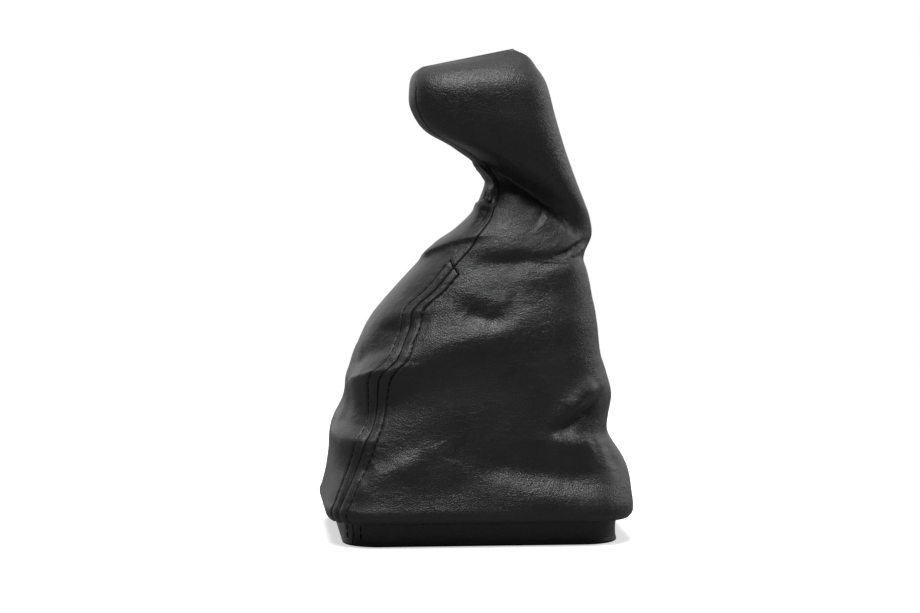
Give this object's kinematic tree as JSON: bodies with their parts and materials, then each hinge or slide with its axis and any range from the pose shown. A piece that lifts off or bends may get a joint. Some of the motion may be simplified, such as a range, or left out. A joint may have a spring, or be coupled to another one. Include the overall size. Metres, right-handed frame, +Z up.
{
  "type": "gear lever gaiter",
  "caption": "Sewn leather gear lever gaiter with a closed hood for the knob, a folded skirt and a moulded base frame inside its hem.",
  "frame": {"origin": "centre of the base, on the plane that the hem rests on", "axes": "+Z up, -X towards the nose that the hood leans over, -Y towards the left side"},
  "size_m": [0.1398, 0.1118, 0.2213],
  "materials": {
    "leather": "black grained leather, satin",
    "frame_plastic": "black moulded plastic, fine texture"
  },
  "bodies": {
    "root": {"left_side_panel": "leather", "right_side_panel": "leather", "nose_gusset": "leather", "base_frame": "frame_plastic"}
  },
  "joints": []
}
